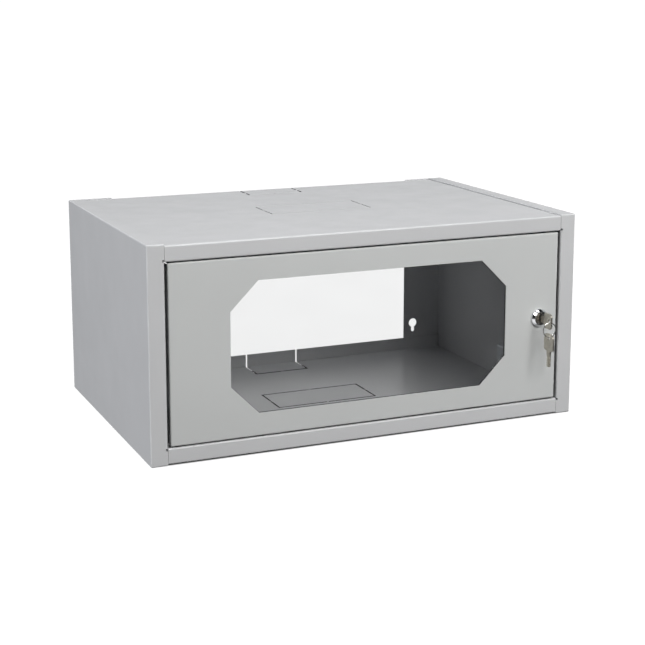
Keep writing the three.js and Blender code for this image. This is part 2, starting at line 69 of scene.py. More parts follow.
def make_camera():
    """Long lens from the front left, a little above the case."""
    level = math.cos(CAMERA_ELEVATION)
    forward = Vector((
        math.sin(CAMERA_AZIMUTH) * level,
        math.cos(CAMERA_AZIMUTH) * level,
        -math.sin(CAMERA_ELEVATION),
    ))
    data = bpy.data.cameras.new("camera")
    data.lens = CAMERA_LENS
    data.shift_y = CAMERA_SHIFT
    data.clip_end = 200
    camera = bpy.data.objects.new("camera", data)
    camera.location = CAMERA_PLACE
    camera.rotation_mode = "QUATERNION"
    camera.rotation_quaternion = forward.to_track_quat("-Z", "Y")
    bpy.context.scene.collection.objects.link(camera)
    bpy.context.scene.camera = camera


SOFTBOXES = {                                # place, size, watts and colour
    "key_right": ((2.2, -1.6, 1.3), (0.9, 0.9), 6.0, (1.0, 0.995, 0.98)),
    "front_high": ((0.35, -2.2, 1.6), (1.9, 0.9), 61.0, (1.0, 0.995, 0.985)),
    "overhead": ((0.1, 0.0, 2.6), (1.8, 0.9), 22.0, (0.985, 0.99, 1.0)),
    "fill_right": ((2.6, 0.0, 0.9), (0.28, 1.5), 16.0, (0.98, 0.985, 1.0)),
    "fill_left": ((-2.6, 0.0, 0.7), (0.28, 1.5), 44.0, (0.965, 0.975, 1.0)),
}
BOUNCE = 0.10
AMBIENT = 0.015
BACKDROP = 0.46
TABLE = 0.85                                 # pale table top ahead on the left, seen in polished metal
CARD_DIRECTION = Vector((-0.56, -0.52, 0.63)).normalized()
CARD = 4.0                                   # white card ahead on the left, seen in polished metal
UNREFLECTED = ("fill_right",)                # softboxes that don't show in reflections
FLOOR_SHADE_END = 21 * MM                    # the floor's painted shadow under the case ends this far before the back
FLOOR_SHADE_EDGE = 4 * MM


def make_lights():
    """Large softboxes ahead, overhead and beside both walls, all aimed at the case."""
    target = Vector((0, 0, 0.12))
    for name, (place, size, power, colour) in SOFTBOXES.items():
        data = bpy.data.lights.new(name, "AREA")
        data.shape = "RECTANGLE"
        data.size, data.size_y = size
        data.energy = power
        data.color = colour
        light = bpy.data.objects.new(name, data)
        light.location = place
        light.visible_glossy = name not in UNREFLECTED
        light.rotation_mode = "QUATERNION"
        light.rotation_quaternion = (target - Vector(place)).to_track_quat("-Z", "Y")
        bpy.context.scene.collection.objects.link(light)


def make_world():
    """Pale floor below the horizon, pale backdrop behind the case, and dim surroundings elsewhere.

    A pale table and a white card, ahead on the left, are there for reflections only.
    """
    world = bpy.data.worlds.new("studio")
    bpy.context.scene.world = world
    world.use_nodes = True
    graph = Graph(world.node_tree)
    direction = graph.node("ShaderNodeTexCoord").outputs["Generated"]
    split = graph.node("ShaderNodeSeparateXYZ", {0: direction})
    behind = graph.spread(split.outputs["Y"], 0.15, 0.45, 0.0, 1.0)
    low = graph.spread(split.outputs["Z"], 0.5, 0.8, 1.0, 0.0)
    upper = graph.spread(graph.math("MULTIPLY", behind, low), 0.0, 1.0, AMBIENT, BACKDROP)
    below = graph.spread(split.outputs["Z"], -0.06, 0.06, 1.0, 0.0)
    level = graph.math("ADD", graph.math("MULTIPLY", below, BOUNCE),
                       graph.math("MULTIPLY", graph.math("SUBTRACT", 1.0, below), upper))
    polished = graph.node("ShaderNodeLightPath").outputs["Is Glossy Ray"]
    left = graph.spread(split.outputs["X"], 0.0, -0.3, 0.0, 1.0)
    ahead = graph.spread(split.outputs["Y"], 0.1, -0.2, 0.0, TABLE)
    tilted = graph.spread(split.outputs["Z"], -0.30, -0.22, 1.0, 0.0)
    table = graph.math("MULTIPLY", graph.math("MULTIPLY", tilted, left),
                       graph.math("MULTIPLY", polished, ahead))
    inputs = {0: direction, 1: CARD_DIRECTION}
    facing = graph.node("ShaderNodeVectorMath", inputs, operation="DOT_PRODUCT")
    card = graph.spread(facing.outputs["Value"], 0.93, 0.96, 0.0, CARD)
    level = graph.math("ADD", level, graph.math("ADD", table, graph.math("MULTIPLY", card, polished)))
    background = graph.node("ShaderNodeBackground", {"Color": (0.98, 0.985, 1.0, 1), "Strength": level})
    graph.link(background.outputs[0], graph.node("ShaderNodeOutputWorld").inputs["Surface"])


def make_floor():
    """Plain floor that curves up into a backdrop all round, like a studio sweep.

    It lights itself evenly except under the case, where its glow drops to leave a painted shadow, and it
    adds no bounce, reflection or shadow.
    """
    mesh = bmesh.new()
    profile = [(0.0, 0.0), (12.0, 0.0)]
    profile += [(12.0 + u, 6.0 + v) for u, v in arc(0, 0, 6.0, -90, 0, 12)[1:]] + [(18.0, 14.0)]
    rings = []
    for radius, height in profile:
        count = 64 if radius else 1
        ring = []
        for i in range(count):
            turn = 2 * math.pi * i / count
            ring.append(mesh.verts.new((radius * math.cos(turn), radius * math.sin(turn), height)))
        rings.append(ring)
    for ring, after in zip(rings, rings[1:]):
        for i in range(64):
            j = (i + 1) % 64
            loop = [ring[i % len(ring)], after[i], after[j], ring[j % len(ring)]]
            mesh.faces.new(list(dict.fromkeys(loop)))
    floor = finish_mesh("studio_floor", mesh)
    material, graph = new_material("studio_floor")
    grain = graph.spread(graph.noise(40, detail=3), 0.3, 0.7, 0, 1)
    colour = graph.mix(grain, (0.030, 0.030, 0.030, 1), (0.034, 0.034, 0.034, 1))
    low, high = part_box("bottom_panel")
    place = graph.node("ShaderNodeSeparateXYZ", {0: graph.place()})
    beside = graph.math("SUBTRACT", graph.math("ABSOLUTE", place.outputs["X"]), high.x)
    behind = graph.math("SUBTRACT", place.outputs["Y"], high.y - FLOOR_SHADE_END)
    ahead = graph.math("SUBTRACT", low.y, place.outputs["Y"])
    outside = graph.math("MAXIMUM", beside, graph.math("MAXIMUM", behind, ahead))
    # Painted shadow: the floor's glow falls to nothing under the case, leaving its near-black base.
    glow = graph.spread(outside, -FLOOR_SHADE_EDGE, 0.0, 0.0, 1.0)
    graph.principled(colour, roughness=0.9, extra={
        "Emission Color": (1, 1, 1, 1),
        "Emission Strength": glow,
    })
    floor.data.materials.append(material)
    floor.visible_diffuse = False
    floor.visible_glossy = False
    floor.visible_shadow = False


# ---------------------------------------------------------------- material graphs

class Graph:
    """Short calls for building a node tree."""

    def __init__(self, tree):
        self.tree = tree
        tree.nodes.clear()

    def node(self, kind, inputs=None, **settings):
        made = self.tree.nodes.new(kind)
        for key, value in settings.items():
            setattr(made, key, value)
        for key, value in (inputs or {}).items():
            self.feed(made.inputs[key], value)
        return made

    def feed(self, socket, value):
        if isinstance(value, bpy.types.NodeSocket):
            self.tree.links.new(value, socket)
        else:
            socket.default_value = value

    def link(self, output, socket):
        self.tree.links.new(output, socket)

    def math(self, operation, a, b=0.0, clamp=False):
        return self.node("ShaderNodeMath", {0: a, 1: b}, operation=operation, use_clamp=clamp).outputs[0]

    def spread(self, value, low, high, out_low, out_high):
        return self.node("ShaderNodeMapRange", {
            "Value": value,
            "From Min": low,
            "From Max": high,
            "To Min": out_low,
            "To Max": out_high,
        }, clamp=True).outputs["Result"]

    def place(self, stretch=(1, 1, 1)):
        """Object coordinates in metres, stretched for brushed or drawn surfaces."""
        coordinates = self.node("ShaderNodeTexCoord").outputs["Object"]
        return self.node("ShaderNodeMapping", {"Vector": coordinates, "Scale": stretch}).outputs[0]

    def noise(self, scale, detail=2.0, rough=0.5, stretch=(1, 1, 1)):
        return self.node("ShaderNodeTexNoise", {
            "Vector": self.place(stretch),
            "Scale": scale,
            "Detail": detail,
            "Roughness": rough,
        }).outputs["Fac"]

    def mix(self, factor, a, b):
        made = self.node("ShaderNodeMix", data_type="RGBA")
        self.feed(made.inputs["Factor"], factor)
        self.feed(made.inputs[6], a)
        self.feed(made.inputs[7], b)
        return made.outputs[2]

    def bump(self, height, distance, strength=1.0, normal=None):
        inputs = {"Height": height, "Distance": distance, "Strength": strength}
        if normal is not None:
            inputs["Normal"] = normal
        return self.node("ShaderNodeBump", inputs).outputs[0]

    def edges(self, radius):
        """1 on sharp edges and 0 on flats, from how far a rounded normal leaves the true one."""
        rounded = self.node("ShaderNodeBevel", {"Radius": radius}, samples=4).outputs[0]
        true = self.node("ShaderNodeNewGeometry").outputs["True Normal"]
        match = self.node("ShaderNodeVectorMath", {0: rounded, 1: true}, operation="DOT_PRODUCT")
        return self.spread(match.outputs["Value"], 0.995, 0.80, 0.0, 1.0)

    def painted_gap_shade(self, reach):
        """Where painted shade goes: 0 deep inside narrow gaps between sheets and 1 in the open."""
        open_sky = self.node("ShaderNodeAmbientOcclusion", {"Distance": reach}, samples=6).outputs["AO"]
        return self.spread(open_sky, 0.05, 0.42, 0.0, 1.0)

    def principled(self, colour, roughness, metallic=0.0, normal=None, extra=None):
        shader = self.node("ShaderNodeBsdfPrincipled", {
            "Base Color": colour,
            "Roughness": roughness,
            "Metallic": metallic,
        })
        for key, value in (extra or {}).items():
            self.feed(shader.inputs[key], value)
        if normal is not None:
            self.link(normal, shader.inputs["Normal"])
        self.link(shader.outputs[0], self.node("ShaderNodeOutputMaterial").inputs["Surface"])
        return shader


def new_material(name):
    material = bpy.data.materials.new(name)
    material.use_nodes = True
    return material, Graph(material.node_tree)


def shade(colour, factor):
    return tuple(channel * factor for channel in colour[:3]) + (1,)


SHEET_REACH = 3.2 * MM                       # top and bottom plate lie within this of the case's ends
BEFORE_GATE = 23 * MM                        # the bottom's slits are shaded up to this before the back
BEHIND_RAIL = 100 * MM                       # all knockouts lie further back than this


def slit_shade(graph):
    """How much painted shade goes on the knockout slits' cut walls and rims, standing in for the shade
    inside them.

    In the bottom it takes in walls and rims; in the top, walls that face sideways, more to the back.
    """
    low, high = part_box("bottom_panel")
    place = graph.node("ShaderNodeSeparateXYZ", {0: graph.place()})
    true_normal = graph.node("ShaderNodeNewGeometry").outputs["True Normal"]
    normal = graph.node("ShaderNodeSeparateXYZ", {0: true_normal})
    upright = graph.math("LESS_THAN", graph.math("ABSOLUTE", normal.outputs["Z"]), 0.3)
    sideways = graph.math("GREATER_THAN", graph.math("ABSOLUTE", normal.outputs["X"]), 0.7)
    in_bottom = graph.math("LESS_THAN", place.outputs["Z"], SHEET_REACH)
    in_top = graph.math("GREATER_THAN", place.outputs["Z"], 2 * CASE_MIDDLE - SHEET_REACH)
    top_share = graph.math("MULTIPLY", in_top, graph.spread(place.outputs["Y"], 0.02, 0.12, 0.15, 0.9))
    near_slits = graph.math("LESS_THAN", graph.math("ABSOLUTE", place.outputs["X"]), KNOCKOUT_REACH)
    behind_rail = graph.math("GREATER_THAN", place.outputs["Y"], low.y + BEHIND_RAIL)
    before_gate = graph.math("LESS_THAN", place.outputs["Y"], high.y - BEFORE_GATE)
    region = graph.math("MULTIPLY", near_slits, behind_rail)
    rims = graph.math("MAXIMUM", upright, graph.math("MULTIPLY", graph.edges(0.0007), 2.0, clamp=True))
    in_bottom = graph.math("MULTIPLY", graph.math("MULTIPLY", in_bottom, before_gate), rims)
    both = graph.math("MAXIMUM", in_bottom, graph.math("MULTIPLY", top_share, sideways))
    return graph.math("MULTIPLY", region, both)


def powder_coat(name, colour, slits=False):
    """Semi-gloss powder coat: fine orange peel, faint clouding and thin, polished edges, painted lighter
    as wear and a painted highlight; painted shade in narrow gaps and, with slits, on the knockout slits.
    """
    material, graph = new_material(name)
    clouds = graph.spread(graph.noise(7, detail=4), 0.3, 0.7, 0, 1)
    speckle = graph.spread(graph.noise(1400, detail=2), 0.35, 0.65, 0, 1)
    base = graph.mix(clouds, shade(colour, 0.975), shade(colour, 1.015))
    base = graph.mix(graph.math("MULTIPLY", speckle, 0.25), base, shade(colour, 0.955))
    patches = graph.spread(graph.noise(160, detail=4), 0.35, 0.7, 0.1, 0.9)
    # Sharp edges painted lighter, partly wear and partly a painted highlight, and made a little smoother.
    wear_and_edge_highlight = graph.math("MULTIPLY", graph.edges(0.0006), patches)
    base = graph.mix(graph.math("MULTIPLY", wear_and_edge_highlight, 0.3), base, shade(colour, 1.12))
    # Painted shade: the coat is darkened nearly to black deep inside narrow gaps between sheets.
    base = graph.mix(graph.painted_gap_shade(0.010), shade(colour, 0.12), base)
    # Painted shade: the knockout slits' walls and rims are darkened nearly to black.
    if slits:
        base = graph.mix(slit_shade(graph), base, shade(colour, 0.02))
    smooth = graph.spread(graph.noise(30, detail=3), 0.3, 0.7, 0.20, 0.26)
    smooth = graph.math("SUBTRACT", smooth, graph.math("MULTIPLY", wear_and_edge_highlight, 0.05))
    peel = graph.bump(graph.noise(620, detail=1.5), 0.00006, 0.55)
    fine = graph.bump(graph.noise(2600, detail=1.0), 0.00002, 0.35, normal=peel)
    graph.principled(base, smooth, normal=fine)
    return material


def plated_metal(name, colour, rough, drawn=(1, 1, 1), tarnish=0.35, scratch=0.4):
    """Plated metal: cloudy sheen, drawn or handling scratches, and edges painted brighter as a painted
    highlight.
    """
    material, graph = new_material(name)
    clouds = graph.spread(graph.noise(120, detail=4), 0.3, 0.7, 0, 1)
    fine = graph.noise(900, detail=3, stretch=drawn)
    base = graph.mix(graph.math("MULTIPLY", clouds, tarnish), shade(colour, 1.04), shade(colour, 0.72))
    # Painted highlight: sharp edges painted brighter.
    painted_edge_highlight = graph.math("MULTIPLY", graph.edges(0.0003), 0.6)
    base = graph.mix(painted_edge_highlight, base, shade(colour, 1.3))
    both = graph.math("MULTIPLY", graph.math("ADD", clouds, fine), 0.5)
    rough_here = graph.spread(both, 0.3, 0.7, rough * 0.75, rough * 1.25)
    graph.principled(base, rough_here, metallic=1.0, normal=graph.bump(fine, 0.00003, scratch))
    return material


def moulded_black(name, rough, grain, depth):
    """Black nylon, rubber or foam, with its own grain and edges painted a little lighter as a painted
    highlight.
    """
    material, graph = new_material(name)
    cells = graph.noise(grain, detail=3)
    pores = graph.spread(cells, 0.35, 0.65, 0, 1)
    base = graph.mix(pores, (0.010, 0.010, 0.011, 1), (0.022, 0.022, 0.023, 1))
    # Painted highlight: sharp edges painted a little lighter.
    base = graph.mix(graph.math("MULTIPLY", graph.edges(0.0004), 0.4), base, (0.05, 0.05, 0.05, 1))
    rough_here = graph.spread(cells, 0.3, 0.7, rough - 0.06, rough + 0.06)
    graph.principled(base, rough_here, normal=graph.bump(cells, depth, 0.6))
    return material


ACRYLIC = 1.49                               # refractive index


def clear_acrylic(name):
    """Clear cast sheet: a faint cool tint in its body, polished faces and fine wiping marks."""
    material, graph = new_material(name)
    smears = graph.noise(14, detail=5, stretch=(1, 1, 2.5))
    streaks = graph.spread(smears, 0.35, 0.65, 0, 1)
    tint = graph.mix(streaks, (0.943, 0.945, 0.945, 1), (0.951, 0.953, 0.953, 1))
    clear = graph.node("ShaderNodeBsdfTransparent", {"Color": tint})
    gloss_rough = graph.spread(smears, 0.3, 0.7, 0.02, 0.04)
    gloss = graph.node("ShaderNodeBsdfGlossy", {"Color": (1, 1, 1, 1), "Roughness": gloss_rough})
    leaving = graph.node("ShaderNodeNewGeometry").outputs["Backfacing"]
    index = graph.spread(leaving, 0.0, 1.0, ACRYLIC, 1 / ACRYLIC)
    fresnel = graph.node("ShaderNodeFresnel", {"IOR": index})
    shares = {0: fresnel.outputs[0], 1: clear.outputs[0], 2: gloss.outputs[0]}
    both = graph.node("ShaderNodeMixShader", shares)
    graph.link(both.outputs[0], graph.node("ShaderNodeOutputMaterial").inputs["Surface"])
    return material


def make_materials():
    return {
        "cabinet_coat": powder_coat("cabinet_coat", (0.624, 0.630, 0.642), slits=True),
        "door_coat": powder_coat("door_coat", (0.613, 0.627, 0.625)),
        "black_foam": moulded_black("black_foam", 0.85, 900, 0.0001),
        "window_acrylic": clear_acrylic("window_acrylic"),
        "zinc_plate": plated_metal("zinc_plate", (0.62, 0.645, 0.67), 0.34),
        "black_nylon": moulded_black("black_nylon", 0.42, 1800, 0.00002),
        "black_rubber": moulded_black("black_rubber", 0.72, 1200, 0.00005),
        "lock_chrome": plated_metal("lock_chrome", (0.80, 0.81, 0.82), 0.06, tarnish=0.08, scratch=0.05),
        "key_nickel": plated_metal("key_nickel", (0.56, 0.53, 0.465), 0.34, (1, 0.25, 3), tarnish=0.7),
        "ring_steel": plated_metal("ring_steel", (0.66, 0.66, 0.65), 0.14, tarnish=0.2, scratch=0.2),
        "plug_metal": plated_metal("plug_metal", (0.42, 0.40, 0.37), 0.30, tarnish=0.6),
        "screw_steel": plated_metal("screw_steel", (0.46, 0.47, 0.48), 0.30),
    }


# ---------------------------------------------------------------- mesh helpers

def spot(axis, across, up, along):
    """A point given across, up and along an axis."""
    place = [0.0, 0.0, 0.0]
    for index, value in zip(AXES[axis], (across, up, along)):
        place[index] = value
    return place


def finish_mesh(name, mesh, sharp=35):
    """Turns a bmesh into a linked object with smooth faces and sharp corners kept."""
    bmesh.ops.remove_doubles(mesh, verts=mesh.verts, dist=1e-7)
    bmesh.ops.recalc_face_normals(mesh, faces=mesh.faces)
    data = bpy.data.meshes.new(name)
    mesh.to_mesh(data)
    mesh.free()
    data.shade_smooth()
    data.set_sharp_from_angle(angle=math.radians(sharp))
    piece = bpy.data.objects.new(name, data)
    bpy.context.scene.collection.objects.link(piece)
    return piece


def lathe(name, profile, axis, centre, segments=72, closed=False, shape=None):
    """(radius, along) points in millimetres turned about an axis; shape may move each point."""
    mesh = bmesh.new()
    rings = []
    for radius, along in profile:
        count = segments if radius > 1e-6 else 1
        ring = []
        for i in range(count):
            angle = 2 * math.pi * i / count
            across, up = radius * math.cos(angle), radius * math.sin(angle)
            if shape:
                across, up = shape(across, up, along)
            place = Vector(spot(axis, across * MM, up * MM, along * MM)) + centre
            ring.append(mesh.verts.new(place))
        rings.append(ring)
    following = rings[1:] + (rings[:1] if closed else [])
    for ring, after in zip(rings, following):
        for i in range(segments):
            j = (i + 1) % segments
            loop = [ring[i % len(ring)], ring[j % len(ring)]]
            loop += [after[j % len(after)], after[i % len(after)]]
            corners = list(dict.fromkeys(loop))
            if len(corners) > 2:
                mesh.faces.new(corners)
    return finish_mesh(name, mesh)


def prism(name, outline, axis, centre, start, end):
    """An outline of (across, up) points in millimetres carried along an axis."""
    mesh = bmesh.new()
    near = [mesh.verts.new(Vector(spot(axis, u * MM, v * MM, start * MM)) + centre) for u, v in outline]
    far = [mesh.verts.new(Vector(spot(axis, u * MM, v * MM, end * MM)) + centre) for u, v in outline]
    mesh.faces.new(near)
    mesh.faces.new(far)
    for i in range(len(outline)):
        j = (i + 1) % len(outline)
        mesh.faces.new((near[i], near[j], far[j], far[i]))
    return finish_mesh(name, mesh)


def block(name, low, high, centre):
    """A plain cutter from one corner to the other, in millimetres."""
    outline = [(low[0], low[2]), (high[0], low[2]), (high[0], high[2]), (low[0], high[2])]
    return prism(name, outline, "y", centre, low[1], high[1])


def carve(piece, others, operation="DIFFERENCE", sharp=35):
    """Cuts or trims a piece with other meshes, which are used up."""
    for other in others:
        modifier = piece.modifiers.new("carve", "BOOLEAN")
        modifier.operation = operation
        modifier.solver = "EXACT"
        modifier.object = other
    graph = bpy.context.evaluated_depsgraph_get()
    data = bpy.data.meshes.new_from_object(piece.evaluated_get(graph))
    piece.modifiers.clear()
    piece.data = data
    data.shade_smooth()
    data.set_sharp_from_angle(angle=math.radians(sharp))
    for other in others:
        bpy.data.objects.remove(other)
    return piece


def ease_edges(piece, width, segments=2, angle=38):
    """Small rounds on a piece's corners, as folding, pressing or plating leaves them."""
    bevel = piece.modifiers.new("eased_edges", "BEVEL")
    bevel.width = width
    bevel.segments = segments
    bevel.limit_method = "ANGLE"
    bevel.angle_limit = math.radians(angle)
    bevel.harden_normals = True
    normals = piece.modifiers.new("flat_face_normals", "WEIGHTED_NORMAL")
    normals.keep_sharp = True


def arc(u, v, radius, start, end, steps):
    """Points on an arc in degrees, both ends included."""
    turns = [math.radians(start + (end - start) * i / steps) for i in range(steps + 1)]
    return [(u + radius * math.cos(turn), v + radius * math.sin(turn)) for turn in turns]


def hexagon(radius, turn=0):
    return arc(0, 0, radius, turn, turn + 300, 5)


def thread(radius, start, end, pitch, depth):
    """Ridges of a screw thread along a turned piece, from start to end."""
    count = max(1, round(abs(end - start) / pitch))
    step = (end - start) / count
    points = []
    for i in range(count):
        points += [(radius - depth, start + i * step), (radius, start + (i + 0.5) * step)]
    return points + [(radius - depth, end)]


def stand_for(piece, node, finish=None):
    """Gives a finished piece its material and body, and hides the CAD node it stands for."""
    piece.data.materials.clear()
    piece.data.materials.append(materials[finish or SLOT_OF[node]])
    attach(piece, BODY_OF[node])
    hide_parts(node)


def centre_of(node):
    low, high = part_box(node)
    return (low + high) / 2


# ---------------------------------------------------------------- sheet metal and pane

KEPT_NODES = {
    "left_side_panel": 0.06 * MM,
    "right_side_panel": 0.06 * MM,
    "top_panel": 0.04 * MM,
    "bottom_panel": 0.04 * MM,
    "door_panel": 0.12 * MM,
    "left_mounting_rail": 0.25 * MM,
    "right_mounting_rail": 0.25 * MM,
    "left_lower_rail_bracket": 0.25 * MM,
    "right_lower_rail_bracket": 0.25 * MM,
    "left_upper_rail_bracket": 0.25 * MM,
    "right_upper_rail_bracket": 0.25 * MM,
    "lock_cam": 0.3 * MM,
    "window_tape": 0.1 * MM,
    "window_pane": 0.35 * MM,
}


def dress_kept_nodes():
    """CAD nodes whose shape is right keep it, with rounded folds, eased edges and their own finish."""
    for node, width in KEPT_NODES.items():
        piece = frame["nodes"][node]
        piece.data.materials.clear()
        piece.data.materials.append(materials[SLOT_OF[node]])
        for face in piece.data.polygons:
            face.use_smooth = True
            face.material_index = 0
        weld = piece.modifiers.new("joined_corners", "WELD")
        weld.merge_threshold = 1e-6
        ease_edges(piece, width)


# ---------------------------------------------------------------- lock

LOCK = Vector((centre_of("lock_housing").x, FACE_Y, centre_of("lock_housing").z))
BODY_RADIUS = 9.3
BODY_FLAT = 8.2
BEZEL_RADIUS = 11.0
BEZEL_FRONT = -5.5
PLUG_RADIUS = 6.8
PLUG_FRONT = -4.8


def flatten_body(across, up, along):
    """The threaded body has two flats that stop the lock from turning in the door."""
    if along > 0:
        across = max(-BODY_FLAT, min(BODY_FLAT, across))
    return across, up


def make_lock_housing():
    bore, back = 7.1, 18.5
    cone = [(bore + 1.4, BEZEL_FRONT + 0.05), (BEZEL_RADIUS - 0.25, -2.9), (BEZEL_RADIUS, -2.5)]
    profile = [(bore, back), (bore, -4.0), (bore + 0.25, -4.5), (bore + 0.5, BEZEL_FRONT + 0.1)]
    profile += [(bore + 0.75, BEZEL_FRONT)] + cone
    profile += [(BEZEL_RADIUS, -0.6), (BEZEL_RADIUS - 0.25, -0.3)]
    profile += [(BODY_RADIUS, -0.3), (BODY_RADIUS, 1.0)]
    profile += thread(BODY_RADIUS, 1.2, 17.7, 1.0, 0.45) + [(BODY_RADIUS - 0.6, back)]
    piece = lathe("lock_body_with_bezel", profile, "y", LOCK, 96, closed=True, shape=flatten_body)
    stand_for(piece, "lock_housing")


def make_lock_plug():
    end, square = 19.1, 3.4
    face = [(0, PLUG_FRONT), (PLUG_RADIUS - 0.35, PLUG_FRONT), (PLUG_RADIUS, PLUG_FRONT + 0.35)]
    in_groove = PLUG_RADIUS - 0.7
    groove = [(PLUG_RADIUS, 14.0), (in_groove, 14.3), (in_groove, 15.7), (PLUG_RADIUS, 16.0)]
    piece = lathe("lock_barrel_plug", face + groove + [(PLUG_RADIUS, end), (0, end)], "y", LOCK, 96)
    corner = 0.6
    outline = []
    for i, (u, v) in enumerate([(1, -1), (1, 1), (-1, 1), (-1, -1)]):
        inset = square - corner
        outline += arc(u * inset, v * inset, corner, -90 + 90 * i, 90 * i, 3)
    carve(piece, [prism("square_drive", outline, "y", LOCK, end - 0.5, 22.0)], "UNION")
    cutters = [
        block("keyway", (-1.9, -6, -4.8), (1.5, 15.5, 4.8), LOCK),
        block("warding", (-2.7, -6, 0.8), (-0.5, 15.4, 2.4), LOCK),
        lathe("screw_hole", [(0, 17.0), (2.3, 17.0), (2.3, 23.0), (0, 23.0)], "y", LOCK, 32),
    ]
    carve(piece, cutters)
    ease_edges(piece, 0.12 * MM)
    stand_for(piece, "lock_plug", "plug_metal")


def chamfered_nut(name, axis, centre, corner, bore, start, end, turn=0):
    """Hexagon nut with its corners turned down at both ends, and a threaded bore."""
    nut = prism(name, hexagon(corner, turn), axis, centre, start, end)
    flat = corner * math.cos(math.radians(30))
    slope = (corner - flat) * 0.55
    rim = corner + 0.05
    turned = [(0, start), (flat, start), (rim, start + slope), (rim, end - slope), (flat, end), (0, end)]
    carve(nut, [lathe("turned_corners", turned, axis, centre, 72)], "INTERSECT")
    ridges = thread(bore, start - 0.5, end + 0.5, 1.0, 0.35)
    hole = [(0, start - 0.5)] + ridges + [(0, end + 0.5)]
    carve(nut, [lathe("threaded_hole", hole, axis, centre, 48)])
    return nut


def make_lock_nut():
    piece = chamfered_nut("lock_back_nut", "y", LOCK, 13.4, 9.6, 1.5, 6.0)
    stand_for(piece, "lock_nut")


def make_cam_screw():
    start, end, radius = 22.3, 24.5, 4.6
    shank = [(0, 17.5), (1.6, 17.5)] + thread(2.0, 17.9, start, 0.7, 0.3)
    head = [(radius - 0.2, start), (radius, start + 0.3), (radius, end - 1.0)]
    dome = arc(radius - 1.0, end - 1.0, 1.0, 0, 90, 5)[1:]
    piece = lathe("cam_fixing_screw", shank + head + dome + [(0, end)], "y", LOCK, 64)
    cross = [
        block("cross_slot", (-0.45, end - 1.3, -2.4), (0.45, end + 1, 2.4), LOCK),
        block("cross_slot", (-2.4, end - 1.3, -0.45), (2.4, end + 1, 0.45), LOCK),
    ]
    carve(piece, cross)
    stand_for(piece, "cam_screw")


# ---------------------------------------------------------------- keys and ring

KEY_HALF = 1.0
BLADE_HALF = 3.6
KEY_HOLE = 2.6
BITTING = (0.7, 1.3, 0.5, 1.1, 0.8)      # depths of the cuts from shoulder to tip
CUT_SPACING = 2.6


def blade_edge(length, side):
    """One edge of a blade from its shoulder to its tip, with the flat-bottomed cuts of the bitting."""
    edge = [(0.0, side * BLADE_HALF)]
    depths = BITTING if side > 0 else BITTING[::-1]
    first = length - 3.2 - CUT_SPACING * (len(depths) - 1)
    for i, depth in enumerate(depths):
        middle = first + i * CUT_SPACING
        cut_floor = side * (BLADE_HALF - depth)
        edge += [(middle - 0.4 - depth, side * BLADE_HALF), (middle - 0.4, cut_floor)]
        edge += [(middle + 0.4, cut_floor), (middle + 0.4 + depth * 0.6, side * BLADE_HALF)]
    tip = [(length - 1.4, side * (BLADE_HALF - 0.3)), (length - 0.4, side * 2.2), (length, side * 0.9)]
    return edge + tip


def bow_outline(length, width):
    """A key's bow from the blade at 0 to its end at -length: waisted neck, wide middle, rounded end."""
    half = width / 2
    corner = min(width, length) * 0.30
    return [
        (-0.4, -half * 0.62),
        *arc(-3.4, -half + 2.8, 2.8, -50, -90, 4),
        *arc(-length + corner, -half + corner, corner, -90, -180, 7),
        *arc(-length + corner, half - corner, corner, -180, -270, 7),
        *arc(-3.4, half - 2.8, 2.8, 90, 50, 4),
        (-0.4, half * 0.62),
    ]


def make_key(name, place, bow, width, blade, hole_edge, node):
    """A flat key cut on both edges. place turns (along the blade, across it) into (y, z)."""
    edge = blade_edge(blade, 1)[::-1] + [(-0.4, BLADE_HALF)]
    outline = [(-0.4, -BLADE_HALF)] + blade_edge(blade, -1) + edge
    plate = bow_outline(bow, width)
    line = [place(u, v) for u, v in outline + plate[::-1]]
    origin = Vector((LOCK.x, FACE_Y, LOCK.z))
    key = prism(name, line, "x", origin, -KEY_HALF, KEY_HALF)
    hole = place(-bow + hole_edge, 0)
    ring = arc(hole[0], hole[1], KEY_HOLE, 0, 345, 23)
    cutters = [prism("ring_hole", ring, "x", origin, -KEY_HALF - 1, KEY_HALF + 1)]
    grooves = ((1, 0.9, 1.5), (-1, -1.3, 1.5))
    for side, middle, breadth in grooves:
        corners = [(1.2, middle - breadth / 2), (blade + 1, middle - breadth / 2)]
        corners += [(blade + 1, middle + breadth / 2), (1.2, middle + breadth / 2)]
        depth = sorted((side * (KEY_HALF - 0.45), side * (KEY_HALF + 1)))
        cutters.append(prism("milled_groove", [place(u, v) for u, v in corners], "x", origin, *depth))
    rim = 1.5
    panel = [
        (-2.6, -width * 0.28),
        (-bow + hole_edge + KEY_HOLE + rim, -width * 0.34),
        (-bow + hole_edge + KEY_HOLE + rim, width * 0.34),
        (-2.6, width * 0.28),
    ]
    for side in (1, -1):
        depth = sorted((side * (KEY_HALF - 0.2), side * (KEY_HALF + 1)))
        cutters.append(prism("bow_panel", [place(u, v) for u, v in panel], "x", origin, *depth))
    for cutter in cutters:
        carve(key, [cutter])
    ease_edges(key, 0.16 * MM, angle=30)
    stand_for(key, node)


def make_keys():
    """The key in the lock stands upright, its bow outwards; the spare hangs from the ring, blade down."""
    low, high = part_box("key_in_lock")
    start = -13.0                            # the shoulder, where the bow meets the blade
    tip = (high.y - FACE_Y) / MM
    blade = tip - start
    bow = start - (low.y - FACE_Y) / MM
    make_key("working_key", lambda u, v: (start + u, v), bow, 19.0, blade, 4.6, "key_in_lock")
    low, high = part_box("spare_key")
    middle_y = ((low.y + high.y) / 2 - FACE_Y) / MM
    top = (high.z - LOCK.z) / MM
    bow = 21.5
    blade = (high.z - low.z) / MM - bow
    hang = lambda u, v: (middle_y + v, top - bow - u)
    make_key("hanging_spare_key", hang, bow, 20.0, blade, 5.5, "spare_key")


